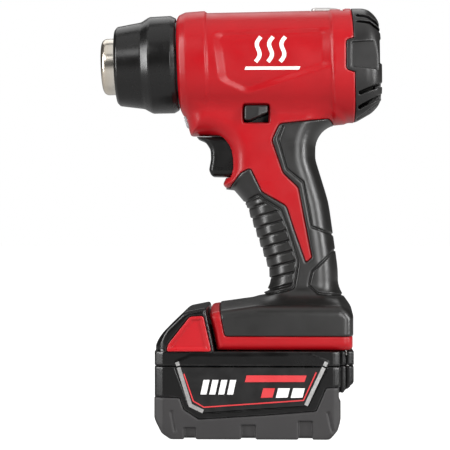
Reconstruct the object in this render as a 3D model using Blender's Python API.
"""Cordless pistol heat gun with a slide-on battery pack, built as an assembly of separate parts.

Axes: -X is the way the nozzle points, +Z is up, +Y is the tool's right side.
Origin: under the middle of the tool, on the surface that the battery stands on.
Sizes below are in millimetres; MM turns them into Blender's metres.
"""

import math

import bmesh
import bpy
import numpy as np
from mathutils import Matrix, Vector
from mathutils.geometry import delaunay_2d_cdt

MM = 0.001

# ---- driving dimensions -----------------------------------------------------------------
GAP = 0.3                 # clearance between pieces that touch or run in each other
PARTING = 0.15            # each housing half stops this far from the middle plane
EDGE_HALF = 0.6           # half the flat land that a rounded shell keeps along its middle
AXIS_Z = 216.3            # height of the barrel's axis over the origin
AXIS_TILT = 2.0           # degrees that the barrel points down towards the nozzle
LEAN = math.tan(math.radians(AXIS_TILT))
BODY_FRONT, BODY_REAR = -36.0, 65.5
FAN_CAVITY_R, MOTOR_CAVITY_R, MOUTH_R = 27.6, 22.5, 25.1
NOZZLE_TIP, NOZZLE_R = -81.0, 16.5
SLEEVE_FRONT = -72.7
HANDLE_HALF_WIDTH = 18.5
NECK_HALF_WIDTH = 20.0
OVERMOULD = 2.2           # thickness of the rubber over the handle and the foot
FOOT_BOTTOM, FOOT_HALF_WIDTH = 50.0, 36.5
BATTERY_TOP, BATTERY_SEAM = 49.5, 41.0
BATTERY_HALF_WIDTH = 38.0
BATTERY_FRONT, BATTERY_REAR, BATTERY_WALL, BUMPER = -48.5, 57.2, 3.2, 1.6
RAIL_NECK, RAIL_HEAD, RAIL_END, CHANNEL_END = 22.3, 26.3, 58.7, 59.0
BLADE_Y = 8.0
HOOK_PIVOT = (58.6, 243.4)
HOOK_R, HOOK_HALF_WIDTH, HOOK_Z, HOOK_FRONT = 1.4, 8.0, 246.2, 42.6
HOOK_SPACE = 0.5          # room round the hook in its recess
MICA_R, MICA_WALL, HEATER_FRONT, HEATER_REAR = 14.3, 0.6, -76.0, -37.0
FORMER_ARM, FORMER_HALF_THICKNESS = 11.6, 0.5
COIL_R, COIL_TURNS, COIL_WIRE_R = 12.7, 8, 0.5
SHAFT_R, SHAFT_SPACE = 1.6, 0.3
FAN_FRONT, FAN_REAR, FAN_R, FAN_HUB_R, FAN_BLADES = -3.0, 6.5, 24.0, 5.0, 9
BLADE_LENGTH, BLADE_LEAN = 17.5, 28.0
MOTOR_FRONT, MOTOR_REAR, MOTOR_R, MOTOR_WALL = 12.0, 48.0, 13.8, 1.6
MOUNT_SPOKES, SCREEN_SPOKES = 5, 8
SHUTTLE_HALF_WIDTH, SHUTTLE_COLLAR = 23.6, 8.0
SWITCH_FRONT, SPRING_R, SPRING_WIRE_R = 17.2, 3.2, 0.4
VENT_HEIGHTS, VENT_HALF_GAP, VENT_FRONT = (188.5, 194.5, 200.5, 232.0, 238.0), 9.0, 68.5
LATCH_INNER, LATCH_OUTER, LATCH_SPRING = 31.0, 38.6, (-28.0, 58.0)
BADGE_INNER, BADGE_OUTER = 37.4, 38.2
WIRE_R, WIRE_Y = 0.9, 4.0
CELL_R, CELL_LENGTH, CELL_PITCH = 9.0, 65.0, 18.9
CELL_MIDDLE_X, CELL_ROWS_Z = 4.3, (12.6, 31.5)
TRIGGER_HALF_WIDTH = 11.5
SCREW_HEAD_R, SCREW_R = 3.0, 1.5

BARREL = (
    Matrix.Translation((0, 0, AXIS_Z * MM))
    @ Matrix.Rotation(math.radians(-AXIS_TILT), 4, "Y")
)

# ---- outlines in the side view: corners (x, z, radius of the arc that rounds them) ---------
HANDLE = [
    (-34.6, 190, 0), (-29.3, 172.7, 1.5), (-4.3, 172.7, 13.2), (-4.3, 154, 8),
    (-8.2, 145.5, 1), (-5.0, 142.6, 0), (3.6, 133, 14), (17.0, 91, 30), (17.0, 70, 0),
    (56.6, 70, 0), (56.8, 98, 40), (50.6, 136.5, 60), (43.2, 159, 12), (43.2, 177.8, 15.5),
    (60, 178.6, 0), (60, 200, 0), (-33, 200, 0),
]
HANDLE_CORE = [
    (-32.0, 190, 0), (-27.5, 175.2, 0), (-1.6, 175, 13.2), (-1.8, 145.5, 3), (6.2, 133, 14),
    (19.4, 91, 30), (19.4, 70, 0), (54.2, 70, 0), (54.4, 98, 40), (48.2, 136, 60),
    (40.9, 159, 12), (40.9, 180, 15.5), (56.5, 182, 0), (56.5, 200, 0), (-31, 200, 0),
]
HORN = [
    (-3.4, 152, 0), (-5.4, 152, 0), (-9.9, 145.0, 1.6), (-8.6, 142.4, 1.6), (-4.0, 142.7, 0),
    (-0.5, 146, 0),
]
GRIP_REGION = [
    (-14, 142.4), (-4.9, 142.4), (-1.2, 150.2), (5.3, 153.1), (12.2, 139.9), (26.4, 131.7),
    (37.5, 99.1), (41.3, 102.4), (33.7, 142.4), (25.2, 150.4), (18.4, 169.5), (22.8, 179.5),
    (51, 182), (56, 177.6), (70, 176), (70, 58), (-8.2, 58), (-12.6, 80),
]
HANDLE_CAVITY = [
    (0.5, 200), (0.5, 150.5), (9, 147), (14, 134), (26, 96), (26, 52), (48, 52), (48, 96),
    (43, 133), (36, 158), (36, 200),
]
FOOT = [(-17.4, 74.6, 2.5), (10, 77.2, 0), (59, 76.6, 0), (65, 75.2, 3.5), (65, 50, 0), (-12.7, 50, 0)]
TRIGGER = [
    (-26.2, 172.2, 0.2), (-25.4, 171.0, 0.8), (-17.2, 170.4, 5.5), (-17.3, 159, 20),
    (-18.6, 148.8, 3), (2.5, 148.8, 1), (2.5, 172.2, 1),
]
BATTERY_SIDE = [
    (-48.5, 49.5, 0), (-48.5, 9, 8), (-41, 0, 4), (50, 0, 4), (57.2, 8, 6), (57.2, 49.5, 0),
]
REAR_BUMP = [(56.4, 49.5), (56.4, 25.5), (58.5, 25.5), (64.8, 31), (64.8, 49.5)]
BUMPER_REGION = [
    (-60, 24.1), (-33.8, 23.2), (-32.2, 17.2), (-23, 11.2), (14.1, 13.5), (42.7, 15.9),
    (48.9, 29.2), (56, 29.4), (56, 22), (70, 22), (70, -10), (-60, -10),
]
BATTERY_TOP_SIDE = [
    (-48.5, 41.3, 0), (-48.5, 52.5, 4), (-43.3, 60.2, 20), (-31, 72, 7), (-18.9, 74.4, 1.5),
    (-13.9, 49.5, 0), (57.2, 49.5, 0), (57.2, 41.3, 0),
]
LATCH = [
    (-41, 50.3, 1), (-39.6, 55, 6), (-27.4, 69.3, 3), (-20.7, 69.5, 1.5), (-16.1, 50.3, 1),
]
BADGE = [
    (-36.2, 40.4, 0), (-28.2, 19.6, 0), (-21, 15.2, 0), (38, 19.3, 0), (49, 40.4, 0),
]

# The barrel's sections: x, top z, bottom z, half width.
BARREL_SECTIONS = [
    (BODY_FRONT, 241.3, 189.0, 26.3), (-31, 245.0, 185.0, 30.0), (-20, 246.0, 184.0, 31.0),
    (-18.3, 244.8, 184.0, 30.4), (53, 246.2, 182.0, 30.4), (55.4, 247.2, 180.0, 31.4),
    (BODY_REAR, 247.0, 180.0, 31.4),
]
CAP_SECTIONS = [
    (65.8, 247.0, 180.0, 31.4), (74.5, 246.4, 183.8, 30.8), (79.2, 240.5, 189.0, 25.0),
    (81.0, 233.0, 197.0, 17.0),
]

# The bore inside the barrel: x along the axis and radius.
BORE = [(-33, FAN_CAVITY_R), (14, FAN_CAVITY_R), (24, MOTOR_CAVITY_R), (72, MOTOR_CAVITY_R)]

# Housing screws go in from the right: (x, z).
SCREWS = [(-15.5, 180), (48, 190), (12, 154), (31, 121), (34, 90), (-8, 66)]
BATTERY_SCREWS = [(61, 26), (61, -26)]


# ---- materials ----------------------------------------------------------------------------
def material(name, colour, roughness, metallic=0.0):
    made = bpy.data.materials.new(name)
    made.use_nodes = True
    shader = made.node_tree.nodes["Principled BSDF"]
    shader.inputs["Base Color"].default_value = (*colour, 1)
    shader.inputs["Roughness"].default_value = roughness
    shader.inputs["Metallic"].default_value = metallic
    return made


def make_materials():
    return {
        "red": material("red_nylon", (0.62, 0.02, 0.03), 0.42),
        "black": material("black_nylon", (0.02, 0.02, 0.02), 0.5),
        "rubber": material("grip_rubber", (0.045, 0.043, 0.042), 0.6),
        "grey": material("bumper_rubber", (0.065, 0.06, 0.062), 0.6),
        "steel": material("brushed_steel", (0.6, 0.58, 0.55), 0.3, 1.0),
        "mica": material("mica", (0.55, 0.45, 0.3), 0.7),
        "copper": material("copper", (0.7, 0.35, 0.2), 0.35, 1.0),
        "green": material("circuit_board", (0.02, 0.16, 0.06), 0.5),
        "lens": material("clear_lens", (0.8, 0.8, 0.78), 0.15),
        "silver": material("silver_trim", (0.5, 0.49, 0.47), 0.35, 0.8),
        "white": material("white_nylon", (0.7, 0.7, 0.68), 0.5),
        "cell": material("cell_sleeve", (0.02, 0.2, 0.28), 0.4),
    }


# ---- shape helpers --------------------------------------------------------------------------
def rounded(corners, step=math.radians(26)):
    """The outline through corners (x, z, radius), with an arc in place of each rounded corner."""
    points = []
    for i, (x, z, radius) in enumerate(corners):
        here = Vector((x, z))
        if radius <= 0:
            points.append(here)
            continue
        before = (Vector(corners[i - 1][:2]) - here).normalized()
        after = (Vector(corners[(i + 1) % len(corners)][:2]) - here).normalized()
        half = before.angle(after) / 2
        centre = here + (before + after).normalized() * (radius / math.sin(half))
        start = here + before * (radius / math.tan(half)) - centre
        end = here + after * (radius / math.tan(half)) - centre
        first = math.atan2(start.y, start.x)
        sweep = (math.atan2(end.y, end.x) - first + math.pi) % math.tau - math.pi
        count = max(1, math.ceil(abs(sweep) / step))
        for k in range(count + 1):
            angle = first + sweep * k / count
            points.append(centre + radius * Vector((math.cos(angle), math.sin(angle))))
    return [(p.x, p.y) for p in points]


def grown(corners, by):
    """Corners moved outwards by a distance, and each radius changed to suit."""
    flat = [Vector(c[:2]) for c in corners]
    area = sum(a.x * b.y - b.x * a.y for a, b in zip(flat, flat[1:] + flat[:1]))
    out = -1 if area > 0 else 1
    result = []
    for i, here in enumerate(flat):
        one = (here - flat[i - 1]).normalized()
        two = (flat[(i + 1) % len(flat)] - here).normalized()
        normal_one = Vector((-one.y, one.x)) * out
        normal_two = Vector((-two.y, two.x)) * out
        move = (normal_one + normal_two) / (1 + normal_one.dot(normal_two))
        turn = (one.x * two.y - one.y * two.x) * -out
        radius = corners[i][2] if len(corners[i]) > 2 else 0
        if radius > 0:
            radius = max(0, radius + (by if turn > 0 else -by))
        result.append((here.x + move.x * by, here.y + move.y * by, radius))
    return result


def finish(bm, name, look, placing=None):
    """Turns a bmesh in millimetres into a named object with its faces pointing out."""
    bmesh.ops.remove_doubles(bm, verts=bm.verts, dist=0.002)
    bmesh.ops.recalc_face_normals(bm, faces=bm.faces)
    mesh = bpy.data.meshes.new(name)
    bm.to_mesh(mesh)
    bm.free()
    mesh.transform(Matrix.Scale(MM, 4))
    mesh.materials.append(look)
    mesh.shade_smooth()
    mesh.set_sharp_from_angle(angle=math.radians(32))
    made = bpy.data.objects.new(name, mesh)
    bpy.context.scene.collection.objects.link(made)
    if placing is not None:
        made.matrix_world = placing
    return made


def bridge(bm, rings, close_ends=True):
    """Skins a row of rings that have the same number of points."""
    made = [[bm.verts.new(p) for p in ring] for ring in rings]
    for one, two in zip(made, made[1:]):
        for k in range(len(one)):
            after = (k + 1) % len(one)
            bm.faces.new((one[k], one[after], two[after], two[k]))
    if close_ends:
        bm.faces.new(made[0])
        bm.faces.new(made[-1])
    return made


def prism(name, outline, low, high, look, axis="Y", placing=None):
    """Extrudes a closed outline along an axis. The outline's two numbers are the other two axes."""
    place = {
        "X": lambda a, b, along: (along, a, b),
        "Y": lambda a, b, along: (a, along, b),
        "Z": lambda a, b, along: (a, b, along),
    }[axis]
    bm = bmesh.new()
    bridge(bm, [[place(p[0], p[1], end) for p in outline] for end in (low, high)])
    return finish(bm, name, look, placing)


def box(name, low, high, look, placing=None):
    corners = [(low[0], low[1]), (high[0], low[1]), (high[0], high[1]), (low[0], high[1])]
    return prism(name, corners, low[2], high[2], look, "Z", placing)


def circle(radius, count, middle=(0, 0), start=0.0):
    return [
        (
            middle[0] + radius * math.cos(start + math.tau * k / count),
            middle[1] + radius * math.sin(start + math.tau * k / count),
        )
        for k in range(count)
    ]


def turned(name, profile, look, count=32, placing=BARREL):
    """Turns a closed profile of (x, radius) points round the X axis."""
    bm = bmesh.new()
    rings = [
        [
            (x, r * math.cos(math.tau * k / count), r * math.sin(math.tau * k / count))
            for k in range(count)
        ]
        for x, r in profile
    ]
    bridge(bm, [*rings, rings[0]], close_ends=False)
    return finish(bm, name, look, placing)


def rod(name, stations, look, count=16, axis="X", middle=(0, 0), placing=None):
    """A solid turned rod: stations of (place along the axis, radius)."""
    bm = bmesh.new()
    turn = {
        "X": lambda along, a, b: (along, a, b),
        "Y": lambda along, a, b: (a, along, b),
        "Z": lambda along, a, b: (a, b, along),
    }[axis]
    bridge(bm, [[turn(at, *p) for p in circle(r, count, middle)] for at, r in stations])
    return finish(bm, name, look, placing)


def tube(name, points, radius, look, sides=6, placing=None):
    """A round bar along a row of points, with flat ends."""
    path = [Vector(p) for p in points]
    bm = bmesh.new()
    rings = []
    across = None
    for i, here in enumerate(path):
        along = (path[min(i + 1, len(path) - 1)] - path[max(i - 1, 0)]).normalized()
        if across is None:
            across = along.orthogonal().normalized()
        across = (across - along * across.dot(along)).normalized()
        other = along.cross(across)
        rings.append([here + radius * (a * across + b * other) for a, b in circle(1, sides)])
    bridge(bm, rings)
    return finish(bm, name, look, placing)


def helix(radius, first, last, turns, per_turn, start=0.0):
    count = int(turns * per_turn)
    return [
        (
            first + (last - first) * k / count,
            radius * math.cos(start + math.tau * k / per_turn),
            radius * math.sin(start + math.tau * k / per_turn),
        )
        for k in range(count + 1)
    ]


def smooth_path(points, between=5):
    """A Catmull-Rom curve through points."""
    path = [Vector(p) for p in points]
    path = [2 * path[0] - path[1], *path, 2 * path[-1] - path[-2]]
    found = []
    for a, b, c, d in zip(path, path[1:], path[2:], path[3:]):
        for k in range(between):
            t = k / between
            found.append(
                0.5 * (2 * b + (c - a) * t + (2 * a - 5 * b + 4 * c - d) * t**2
                       + (3 * b - a - 3 * c + d) * t**3)
            )
    found.append(path[-2])
    return found


def weld(mesh):
    """Merges the points that a Boolean leaves on top of each other."""
    bm = bmesh.new()
    bm.from_mesh(mesh)
    bmesh.ops.remove_doubles(bm, verts=bm.verts, dist=0.002 * MM)
    bm.to_mesh(mesh)
    bm.free()


def boolean(target, other, operation):
    """Joins, cuts or intersects target with other, and removes other."""
    change = target.modifiers.new(operation, "BOOLEAN")
    change.object = other
    change.operation = operation
    change.solver = "EXACT"
    bpy.context.view_layer.update()
    graph = bpy.context.evaluated_depsgraph_get()
    mesh = bpy.data.meshes.new_from_object(target.evaluated_get(graph))
    target.modifiers.clear()
    weld(mesh)
    old = target.data
    target.data = mesh
    mesh.name = target.name
    bpy.data.meshes.remove(old)
    bpy.data.objects.remove(other)
    return target


def cut(target, *others):
    for other in others:
        boolean(target, other, "DIFFERENCE")
    return target


def join(target, *others):
    for other in others:
        boolean(target, other, "UNION")
    return target


def keep(target, other):
    return boolean(target, other, "INTERSECT")


def carried(name, at, *pieces):
    """Parents a moving body's pieces to an empty on its joint's axis."""
    pivot = bpy.data.objects.new(name, None)
    pivot.location = Vector(at) * MM
    bpy.context.scene.collection.objects.link(pivot)
    bpy.context.view_layer.update()
    for piece in pieces:
        piece.parent = pivot
        piece.matrix_parent_inverse = pivot.matrix_world.inverted()


def half_space(side, look, gap=PARTING):
    """A big box on one side of the middle plane: side is -1 for the left and 1 for the right."""
    low, high = sorted((side * gap, side * 60))
    return box("half_space", (-100, low, -20), (120, high, 280), look)


# ---- inflated outlines ------------------------------------------------------------------------
def edge_distance(points, outline):
    start = np.array(outline)
    run = np.roll(start, -1, axis=0) - start
    away = points[:, None, :] - start[None]
    share = np.clip((away * run).sum(2) / np.maximum((run**2).sum(1), 1e-9), 0, 1)
    gap = away - share[..., None] * run
    return np.sqrt((gap**2).sum(2)).min(1)


def is_inside(points, outline):
    start = np.array(outline)
    end = np.roll(start, -1, axis=0)
    x, z = points[:, None, 0], points[:, None, 1]
    crosses = (start[:, 1] > z) != (end[:, 1] > z)
    rise = np.where(end[:, 1] == start[:, 1], 1e-9, end[:, 1] - start[:, 1])
    at = start[:, 0] + (z - start[:, 1]) * (end[:, 0] - start[:, 0]) / rise
    return (crosses & (x < at)).sum(1) % 2 == 1


def divided(outline, longest):
    points = []
    for a, b in zip(outline, outline[1:] + outline[:1]):
        count = max(1, math.ceil(math.dist(a, b) / longest))
        for k in range(count):
            points.append((a[0] + (b[0] - a[0]) * k / count, a[1] + (b[1] - a[1]) * k / count))
    return points


def inflated(name, corners, half_width, round_over, look, rows=(1.0, 4.5), spacing=13):
    """A pillow on an outline: its half width grows from nothing at the outline to half_width(z)
    over the distance round_over."""
    outline = divided(rounded(corners), spacing)
    edge = np.array(outline)
    loose = []
    area = sum(a[0] * b[1] - b[0] * a[1] for a, b in zip(outline, outline[1:] + outline[:1]))
    along = np.roll(edge, -1, axis=0) - np.roll(edge, 1, axis=0)
    inward = np.stack([-along[:, 1], along[:, 0]], 1) * (1 if area > 0 else -1)
    inward /= np.linalg.norm(inward, axis=1)[:, None]
    for distance in rows:
        moved = edge + inward * distance
        fits = is_inside(moved, outline) & (edge_distance(moved, outline) > 0.93 * distance)
        loose += list(moved[fits])
    low, high = edge.min(0), edge.max(0)
    grid = np.array(
        [
            (x, z)
            for x in np.arange(low[0], high[0], spacing)
            for z in np.arange(low[1], high[1], spacing)
        ]
    )
    fits = is_inside(grid, outline) & (edge_distance(grid, outline) > rows[-1] + 0.4 * spacing)
    loose += list(grid[fits])
    count = len(outline)
    given = [Vector(p) for p in outline] + [Vector(p) for p in loose]
    edges = [(i, (i + 1) % count) for i in range(count)]
    found, _, faces, *_ = delaunay_2d_cdt(given, edges, [], 1, 0.01)
    flat = np.array([tuple(p) for p in found])
    share = np.clip(edge_distance(flat, outline) / round_over, 0, 1)
    swell = np.clip(1 - (1 - share) ** 2.3, 0, 1) ** (1 / 2.3)
    bm = bmesh.new()
    sides = []
    for side in (-1, 1):
        row = []
        for (x, z), s in zip(flat, swell):
            y = EDGE_HALF + s * (half_width(z) - EDGE_HALF)
            row.append(bm.verts.new((x, side * y, z)))
        sides.append(row)
    for face in faces:
        bm.faces.new([sides[0][i] for i in face])
        bm.faces.new([sides[1][i] for i in reversed(face)])
    for i in range(count):
        after = (i + 1) % count
        bm.faces.new((sides[0][i], sides[0][after], sides[1][after], sides[1][i]))
    return finish(bm, name, look)


def handle_width(z):
    share = min(1, max(0, (z - 146) / 22))
    return HANDLE_HALF_WIDTH + (NECK_HALF_WIDTH - HANDLE_HALF_WIDTH) * share


def section(x, top, bottom, half_width, count=28, power=2.25):
    """A rounded section of the barrel, square to the tilted axis, which it crosses at x."""
    middle, half = (top + bottom) / 2, (top - bottom) / 2
    ring = []
    for k in range(count):
        c, s = math.cos(math.tau * k / count), math.sin(math.tau * k / count)
        z = middle + half * math.copysign(abs(s) ** (2 / power), s)
        y = half_width * math.copysign(abs(c) ** (2 / power), c)
        ring.append((x - (z - AXIS_Z) * LEAN, y, z))
    return ring


def lofted(name, sections, look, inset=0.0):
    bm = bmesh.new()
    bridge(bm, [section(x, t - inset, b + inset, w - inset) for x, t, b, w in sections])
    return finish(bm, name, look)


# ---- housing and overmould ----------------------------------------------------------------------
def handle_solid(look, inset=0.0, corners=HANDLE):
    return inflated("handle", corners, lambda z: handle_width(z) - inset, 13.0, look)


def foot_solid(look, inset=0.0):
    """The foot: its side view and its plan, both rounded, crossed with each other."""
    side = prism("foot", rounded(grown(FOOT, -inset)), -40, 40, look)
    wide = FOOT_HALF_WIDTH - inset
    plan = [(-25, -wide, 0), (65 - inset, -wide, 6.5), (65 - inset, wide, 6.5), (-25, wide, 0)]
    return keep(side, prism("plan", rounded(plan), 40, 90, look, "Z"))


def grip_layer(look, region_gap, core_gap):
    """The space that the overmould fills: its region in the side view, less what it covers."""
    layer = prism("layer", grown(GRIP_REGION, region_gap), -50, 50, look)
    inset = OVERMOULD - core_gap
    corners = grown(HANDLE_CORE, core_gap)
    cut(
        layer,
        handle_solid(look, inset, corners),
        foot_solid(look, inset),
        lofted("barrel", BARREL_SECTIONS, look, -core_gap),
    )
    return layer


def housing_solid(look):
    body = lofted("body", BARREL_SECTIONS, look)
    join(body, handle_solid(look), foot_solid(look), prism("horn", rounded(HORN), -13, 13, look))
    return cut(body, grip_layer(look, GAP, 0.0))


def rail_outline(gap=0.0):
    """The T-shaped rail on top of the battery, and with a gap the channel that it slides in."""
    neck, head, low, high = RAIL_NECK + gap, RAIL_HEAD + gap, 53.5 - gap, 61.5 + gap
    return [
        (-neck, 45), (neck, 45), (neck, low), (head, low), (head, high), (-head, high),
        (-head, low), (-neck, low),
    ]


def trigger_slot(look):
    low, high = 148.4, 172.9
    return prism("trigger_slot", [(-40, low), (8, low), (8, high), (-40, high)], -12, 12, look)


def hollow_housing(body, look):
    cut(
        body,
        rod("bore", BORE, look, 32, placing=BARREL),
        rod("mouth", [(-45, MOUTH_R), (-30, MOUTH_R)], look, 32, placing=BARREL),
        prism("cavity", HANDLE_CAVITY, -12.5, 12.5, look),
        trigger_slot(look),
        prism("channel", rail_outline(GAP), -30, CHANNEL_END, look, "X"),
        prism("board_space", [(8, 60), (58, 60), (58, 72.5), (8, 72.5)], -22, 22, look),
        prism("lens_hole", [(-40, 177.4), (-26, 177.4), (-26, 184.6), (-40, 184.6)], -7.4, 7.4, look),
        prism("led_space", [(-29.5, 176), (-21, 176), (-21, 188), (-29.5, 188)], -10, 10, look),
        prism("shuttle_hole", [(2.2, 179.8), (16.4, 179.8), (16.4, 189.8), (2.2, 189.8)], -40, 40, look),
        rod("hook_hole", [(-13.5, HOOK_R + GAP), (13.5, HOOK_R + GAP)], look, 12, "Y", HOOK_PIVOT),
    )
    return cut(body, *hook_recess(look))


def hook_recess(look):
    """The shallow seat that the hook folds into, deeper at its two knees, with room to swing."""
    wide = HOOK_HALF_WIDTH + HOOK_R + HOOK_SPACE
    front = HOOK_FRONT - HOOK_R - HOOK_SPACE
    seat = box("seat", (front, -wide, HOOK_Z - HOOK_R - GAP), (60.6, wide, 252), look)
    knee_low = HOOK_PIVOT[1] - HOOK_R - 0.1
    knees = [
        box("knee", (53.5, min(side * 6, side * 10.4), knee_low),
            (63.2, max(side * 6, side * 10.4), 252), look)
        for side in (-1, 1)
    ]
    return [seat, *knees]


def screw_reach(z):
    return 17.0 if z > 175 else 15.0


def screw_boss(body, x, z, side, look):
    """A boss that a housing screw passes through or bites into."""
    reach = screw_reach(z)
    join(body, rod("boss", [(side * PARTING, 4.0), (side * reach, 4.0)], look, 12, "Y", (x, z)))
    shaft = SCREW_R + GAP
    cut(body, rod("hole", [(-11, shaft), (20, shaft)], look, 10, "Y", (x, z)))
    if side > 0:
        head = SCREW_HEAD_R + GAP
        cut(body, rod("counterbore", [(reach - 3.5, head), (60, head)], look, 12, "Y", (x, z)))
    return body


def screw(name, x, z, look):
    seat = screw_reach(z) - 3.5 + GAP
    stations = [(-10, SCREW_R), (seat, SCREW_R), (seat, SCREW_HEAD_R), (seat + 2.2, SCREW_HEAD_R)]
    return rod(name, stations, look, 10, "Y", (x, z))


def make_housing(looks):
    for side, name in ((-1, "left"), (1, "right")):
        shell = keep(housing_solid(looks["red"]), half_space(side, looks["red"]))
        hollow_housing(shell, looks["red"])
        for x, z in SCREWS:
            screw_boss(shell, x, z, side, looks["red"])
        shell.name = f"housing_{name}"
        skin = join(handle_solid(looks["rubber"]), foot_solid(looks["rubber"]))
        keep(skin, grip_layer(looks["rubber"], 0.0, GAP))
        keep(skin, half_space(side, looks["rubber"]))
        way = prism("battery_way", rail_outline(GAP), -30, CHANNEL_END, looks["rubber"], "X")
        cut(skin, way, trigger_slot(looks["rubber"]))
        if side > 0:
            for x, z in SCREWS:
                head = SCREW_HEAD_R + GAP
                cut(skin, rod("way", [(5, head), (60, head)], looks["rubber"], 12, "Y", (x, z)))
        skin.name = f"grip_{name}"
    for number, (x, z) in enumerate(SCREWS, 1):
        screw(f"housing_screw_{number}", x, z, looks["steel"])


# ---- nozzle, heater and fan -----------------------------------------------------------------------
def make_nozzle(looks):
    inner = NOZZLE_R - 1.2
    tip = NOZZLE_TIP
    turned(
        "nozzle_tube",
        [(tip, inner + 0.3), (tip + 0.8, NOZZLE_R), (-52, NOZZLE_R), (-52, inner), (tip + 0.8, inner)],
        looks["steel"], 36,
    )
    turned(
        "nozzle_sleeve",
        [
            (SLEEVE_FRONT, NOZZLE_R + GAP), (SLEEVE_FRONT, 21.2), (-70.6, 23.2), (-57.4, 25.4),
            (-52.4, 27.8), (-39.6, 28.5), (-36.6, 26.6), (-36.6, MOUTH_R - GAP),
            (-30.5, MOUTH_R - GAP), (-30.5, 22.6), (-55, 21.8), (-66, 20.0), (-66, NOZZLE_R + GAP),
        ],
        looks["black"], 32,
    )
    front, rear, wall = HEATER_FRONT, HEATER_REAR, MICA_R + MICA_WALL
    turned("mica_tube", [(front, wall), (rear, wall), (rear, MICA_R), (front, MICA_R)], looks["mica"], 20)
    arm, half = FORMER_ARM, FORMER_HALF_THICKNESS
    cross = [
        (-half, -arm), (half, -arm), (half, -half), (arm, -half), (arm, half), (half, half),
        (half, arm), (-half, arm), (-half, half), (-arm, half), (-arm, -half), (-half, -half),
    ]
    prism("heater_former", cross, front + 2, rear - 1, looks["mica"], "X", BARREL)
    turns = helix(COIL_R, front + 4, rear - 4, COIL_TURNS, 10)
    tube("heater_coil", turns, COIL_WIRE_R, looks["copper"], 4, BARREL)
    rod("thermal_fuse", [(-36, 2.0), (-27, 2.0)], looks["silver"], 10, "X", (0, 8), BARREL)
    turned(
        "air_duct",
        [
            (-45, 16.4), (-38, 16.4), (-24, 25.8), (-6, 27.1), (-6, 25.8), (-24, 24.5),
            (-37.6, 15.2), (-45, 15.2),
        ],
        looks["white"], 24,
    )


def make_impeller(looks):
    """A backing disc with slanted blades round a hub, pressed on the motor shaft."""
    bore, disc = SHAFT_R + GAP, FAN_REAR - 1.5
    wheel = turned(
        "impeller",
        [
            (FAN_FRONT, bore), (FAN_FRONT, FAN_HUB_R), (disc, FAN_HUB_R + 1.5), (disc, FAN_R),
            (FAN_REAR, FAN_R), (FAN_REAR, bore),
        ],
        looks["white"], 24,
    )
    for k in range(FAN_BLADES):
        turn = Matrix.Rotation(math.tau * k / FAN_BLADES, 4, "X")
        lean = Matrix.Rotation(math.radians(BLADE_LEAN), 4, "X")
        offset = Matrix.Translation((0, 0, FAN_HUB_R * MM))
        blade = box("blade", (FAN_FRONT, -0.6, 0), (disc + 0.4, 0.6, BLADE_LENGTH), looks["white"],
                    BARREL @ turn @ offset @ lean)
        join(wheel, blade)


def make_motor(looks):
    """The motor: its can on two bushes, its turning parts, its damper ring and its spoked mount."""
    front, rear, wall, hole = MOTOR_FRONT, MOTOR_REAR, MOTOR_WALL, 2.4
    turned(
        "motor_can",
        [
            (front, hole), (front, MOTOR_R), (rear, MOTOR_R), (rear, hole), (rear - 1.4, hole),
            (rear - 1.4, MOTOR_R - wall), (front + 1.4, MOTOR_R - wall), (front + 1.4, hole),
        ],
        looks["steel"], 20,
    )
    rod("motor_shaft", [(FAN_FRONT - 0.6, SHAFT_R), (rear + 3, SHAFT_R)], looks["steel"], 10,
        placing=BARREL)
    bore = SHAFT_R + SHAFT_SPACE
    turned(
        "armature",
        [(17, bore), (17, 10.8), (38, 10.8), (38, 4.5), (44, 4.5), (44, bore)],
        looks["copper"], 18,
    )
    for name, low, high in (("front", front - 3.4, front - GAP), ("rear", rear + GAP, rear + 2.6)):
        profile = [(low, bore), (low, 4), (high, 4), (high, bore)]
        turned(f"motor_bush_{name}", profile, looks["copper"], 14)
    inner = MOTOR_R + GAP
    turned("motor_damper", [(28, inner), (28, 18), (37, 18), (37, inner)], looks["rubber"], 24)
    mount = turned("motor_mount", [(9, 24.2), (9, 26.3), (14, 26.3), (14, 24.2)], looks["black"], 24)
    hub = turned(
        "hub",
        [(9, 4.3), (9, 15.6), (20, 15.6), (20, inner), (front - GAP, inner), (front - GAP, 4.3)],
        looks["black"], 20,
    )
    spokes = [
        box("spoke", (9.5, -1.5, 14.6), (13, 1.5, 25), looks["black"],
            BARREL @ Matrix.Rotation(math.tau * (k + 0.5) / MOUNT_SPOKES, 4, "X"))
        for k in range(MOUNT_SPOKES)
    ]
    join(mount, hub, *spokes)


def make_rear_cap(looks):
    cap = lofted("rear_cap", CAP_SECTIONS, looks["black"])
    hollow = [(55, 26), (72, 26), (77.4, 20)]
    cut(cap, rod("hollow", hollow, looks["black"], 28, placing=BARREL))
    for side in (-1, 1):
        low, high = sorted((side * VENT_HALF_GAP, side * 40))
        for height in VENT_HEIGHTS:
            slot = [(VENT_FRONT, height), (84, height + 2.6), (84, height + 4.8), (VENT_FRONT, height + 2.2)]
            cut(cap, prism("vent", slot, low, high, looks["black"]))
    screen, *parts = [
        turned("dust_screen", [(61, low), (61, high), (61.8, high), (61.8, low)], looks["steel"], 16)
        for low, high in ((20.4, 22.0), (3.0, 5.4))
    ]
    parts += [
        box("spoke", (61.1, -0.6, 4.4), (61.7, 0.6, 21.2), looks["steel"],
            BARREL @ Matrix.Rotation(math.tau * (k + 0.25) / SCREEN_SPOKES, 4, "X"))
        for k in range(SCREEN_SPOKES)
    ]
    join(screen, *parts)


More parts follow.
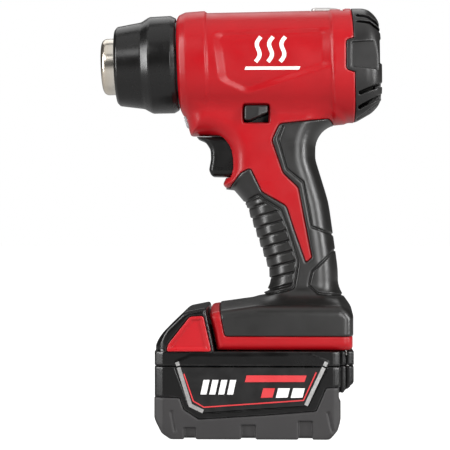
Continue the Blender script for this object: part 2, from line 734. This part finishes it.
# ---- controls -----------------------------------------------------------------------------------
def make_trigger(looks):
    trigger = prism("trigger", rounded(TRIGGER), -20, 20, looks["black"])
    wide = TRIGGER_HALF_WIDTH
    plan = [(-27.5, -wide, 7), (10, -wide, 0), (10, wide, 0), (-27.5, wide, 7)]
    keep(trigger, prism("plan", rounded(plan), 140, 180, looks["black"], "Z"))
    carried("trigger_axis", (0, 0, 160), trigger)
    spring = [(x, y, 165 + z) for x, y, z in helix(SPRING_R, 3.3, SWITCH_FRONT - 0.8, 5, 8)]
    tube("trigger_spring", spring, SPRING_WIRE_R, looks["steel"], 4)
    box("switch_body", (SWITCH_FRONT, -8, 156), (33, 8, 175), looks["black"])


def make_lock_shuttle(looks):
    """A bar right through the neck, with a button on each end and a collar inside the housing."""
    outline = [(2.6, 180.2), (14.5, 180.2), (16, 183.4), (16, 189.4), (2.6, 189.4)]
    wide = SHUTTLE_HALF_WIDTH
    shuttle = prism("lock_shuttle", outline, -wide, wide, looks["black"])
    collar = [(1.4, -SHUTTLE_COLLAR, 179), (17.2, SHUTTLE_COLLAR, 189.1)]
    join(shuttle, box("collar", *collar, looks["black"]))
    carried("lock_axis", (9.3, 0, 184.8), shuttle)


def make_hang_hook(looks):
    """A folding wire bail: two pins, two knees and a loop that lies along the top."""
    x, z = HOOK_PIVOT
    half, top, front = HOOK_HALF_WIDTH, HOOK_Z, HOOK_FRONT
    side = [(x, 12.8, z), (x, half + 0.8, z), (x - 0.6, half, z + 0.9), (x - 3.2, half, top),
            (front + 3.4, half, top), (front + 1.0, half - 1.0, top), (front, half - 3.4, top)]
    path = side + [(a, -b, c) for a, b, c in reversed(side)]
    hook = tube("hang_hook", path, HOOK_R, looks["steel"], 10)
    carried("hook_pivot", (x, 0, z), hook)


def make_lamp(looks):
    outline = [(-33.4, 184.3), (-31.4, 177.7), (-28.8, 177.7), (-28.8, 184.3)]
    prism("led_lens", outline, -7.1, 7.1, looks["lens"])
    box("led_board", (-28.3, -8.5, 176.6), (-27, 8.5, 186.5), looks["green"])


def make_electrics(looks):
    """The control board, the block with its two moulded-in blades, and the wires to the switch."""
    box("control_board", (12, -18, 64.8), (56, 18, 66.3), looks["green"])
    block = box("terminal_block", (36, -13, 62.2), (55, 13, 64.5), looks["black"])
    for side, name in ((-1, "left"), (1, "right")):
        middle = side * BLADE_Y
        join(block, box("blade", (38, middle - 0.4, 54), (54, middle + 0.4, 63), looks["silver"]))
        route = [(43, 67), (43, 90), (40.2, 121), (36.5, 143), (29, 151), (26, 155.6)]
        path = smooth_path([(x, side * WIRE_Y, z) for x, z in route], 3)
        tube(f"power_wire_{name}", path, WIRE_R, looks["red" if side > 0 else "black"], 5)


# ---- battery pack ---------------------------------------------------------------------------------
def battery_plan(inset=0.0):
    """The battery's plan, seen from above, with rounded corners."""
    wide, nose, tail = BATTERY_HALF_WIDTH - inset, 9 - 2 * inset, 6 - inset
    front, rear = BATTERY_FRONT + inset, BATTERY_REAR - inset
    return rounded(
        [(front, -wide, nose), (rear, -wide, tail), (rear, wide, tail), (front, wide, nose)]
    )


def battery_block(look, low, high, inset=0.0):
    """The battery's rounded block between two heights, or a smaller one inside it."""
    block = prism("block", rounded(grown(BATTERY_SIDE, -inset)), -40, 40, look)
    return keep(block, prism("plan", battery_plan(inset), low, high, look, "Z"))


def bumper_layer(look, region_gap, core_gap):
    """The space that the bumper fills: its region in the side view, less the case inside it."""
    layer = prism("layer", [p[:2] for p in grown(BUMPER_REGION, region_gap)], -50, 50, look)
    return cut(layer, battery_block(look, -20, 45, BUMPER - core_gap))


def rear_bump(look, low, high):
    bump = prism("bump", REAR_BUMP, -30, 30, look)
    return keep(bump, box("range", (50, -40, low), (70, 40, high), look))


def latch_side(side):
    return sorted((side * LATCH_INNER, side * LATCH_OUTER))


def make_battery_case(looks):
    black = looks["black"]
    case = battery_block(black, -1, BATTERY_SEAM)
    join(case, rear_bump(black, 20, BATTERY_SEAM - GAP))
    cut(case, bumper_layer(black, GAP, 0.0), battery_block(black, -20, 60, BATTERY_WALL))
    for side in (-1, 1):
        low, high = sorted((side * (BADGE_INNER - GAP), side * 45))
        cut(case, prism("badge_seat", [p[:2] for p in grown(BADGE, GAP)], low, high, black))
    cut(case, box("gauge_seat", (-60, -15, 24.7), (-46.3, 15, 34.3), black))
    for x, y in BATTERY_SCREWS:
        cut(case, rod("hole", [(29, 1.6), (45, 1.6)], black, 10, "Z", (x, y)))
    case.name = "battery_case"
    bumper = battery_block(looks["grey"], -1, 40)
    keep(bumper, bumper_layer(looks["grey"], 0.0, GAP))
    bumper.name = "battery_bumper"
    for side, name in ((-1, "left"), (1, "right")):
        low, high = sorted((side * BADGE_INNER, side * BADGE_OUTER))
        prism(f"battery_badge_{name}", [p[:2] for p in BADGE], low, high, looks["silver"])
    box("gauge_lens", (-49.0, -14.6, 25), (-46.7, 6, 34), looks["lens"])
    button = box("gauge_button", (-49.3, 7, 25.4), (-47.3, 14.2, 33.6), looks["red"])
    carried("gauge_axis", (-48.3, 10.6, 29.5), button)


def make_battery_top(looks):
    black = looks["black"]
    top = prism("top", rounded(BATTERY_TOP_SIDE), -40, 40, black)
    keep(top, prism("plan", battery_plan(), 30, 90, black, "Z"))
    join(top, rear_bump(black, BATTERY_SEAM + 2 * GAP, BATTERY_TOP - GAP))
    join(top, prism("rail", rail_outline(), -20, RAIL_END, black, "X"))
    cut(
        top,
        box("board_space", (-12, -19.5, 30), (33, 19.5, 58.8), black),
        box("hump_space", (-45, -24, 30), (-12.5, 24, 47), black),
    )
    for side, name in ((-1, "left"), (1, "right")):
        low, high = sorted((side * (BLADE_Y - 2), side * (BLADE_Y + 2)))
        cut(top, box("blade_slot", (35.5, low, 52.5), (70, high, 70), black))
        low, high = sorted((side * 28.0, side * 50))
        cut(top, prism("latch_seat", rounded(grown(LATCH, GAP)), low, high, black))
        low, high = sorted((side * 21.5, side * 30))
        cut(top, rod("spring_seat", [(low, 4.2), (high, 4.2)], black, 12, "Y", LATCH_SPRING))
        low, high = latch_side(side)
        latch = prism(f"latch_{name}", rounded(LATCH), low, high, looks["red"])
        x, z = LATCH_SPRING
        carried(f"latch_axis_{name}", (x, side * LATCH_INNER, z), latch)
        turns = helix(SPRING_R, 22.3, LATCH_INNER - 0.8, 4, 8)
        x, z = LATCH_SPRING
        spring = [(x + a, side * y, z + b) for y, a, b in turns]
        tube(f"latch_spring_{name}", spring, SPRING_WIRE_R, looks["steel"], 4)
        contact = box(f"battery_contact_{name}", (38, side * BLADE_Y - 1.6, 52.9),
                      (46, side * BLADE_Y + 1.6, 60.5), looks["copper"])
        cut(contact, box("gap", (30, side * BLADE_Y - 0.9, 53.5), (50, side * BLADE_Y + 0.9, 70),
                         looks["copper"]))
    for number, (x, y) in enumerate(BATTERY_SCREWS, 1):
        cut(top, rod("hole", [(38, 1.6), (60, 1.6)], black, 10, "Z", (x, y)),
            rod("head", [(46.6, 2.9), (60, 2.9)], black, 10, "Z", (x, y)))
        rod(f"battery_screw_{number}", [(30, 1.3), (46.9, 1.3), (46.9, 2.6), (49, 2.6)],
            looks["steel"], 10, "Z", (x, y))
    top.name = "battery_top"


def make_cells(looks):
    """Five pairs of cells lying across the pack, each pair welded by one nickel strip."""
    end = CELL_LENGTH / 2
    for number in range(5):
        x = CELL_MIDDLE_X + (number - 2) * CELL_PITCH
        name = f"cell_pair_{number + 1}"
        low, high = [
            rod(name, [(-end, CELL_R), (end, CELL_R)], looks["cell"], 18, "Y", (x, z))
            for z in CELL_ROWS_Z
        ]
        strip = box("strip", (x - 4, end - 0.1, CELL_ROWS_Z[0] - 4),
                    (x + 4, end + 0.4, CELL_ROWS_Z[1] + 4), looks["silver"])
        join(low, high, strip)
        low.name = name
    box("battery_board", (-10, -17, 44.5), (31, 17, 46), looks["green"])


def main():
    for old in list(bpy.data.objects):
        bpy.data.objects.remove(old)
    looks = make_materials()
    make_housing(looks)
    make_nozzle(looks)
    make_impeller(looks)
    make_motor(looks)
    make_rear_cap(looks)
    make_trigger(looks)
    make_lock_shuttle(looks)
    make_hang_hook(looks)
    make_lamp(looks)
    make_electrics(looks)
    make_battery_case(looks)
    make_battery_top(looks)
    make_cells(looks)
    starts = ("battery_", "cell_pair_", "gauge_lens", "latch_spring_")
    pack = [made for made in bpy.data.objects if made.name.startswith(starts)]
    carried("battery_rail", (0, 0, FOOT_BOTTOM), *pack)


main()
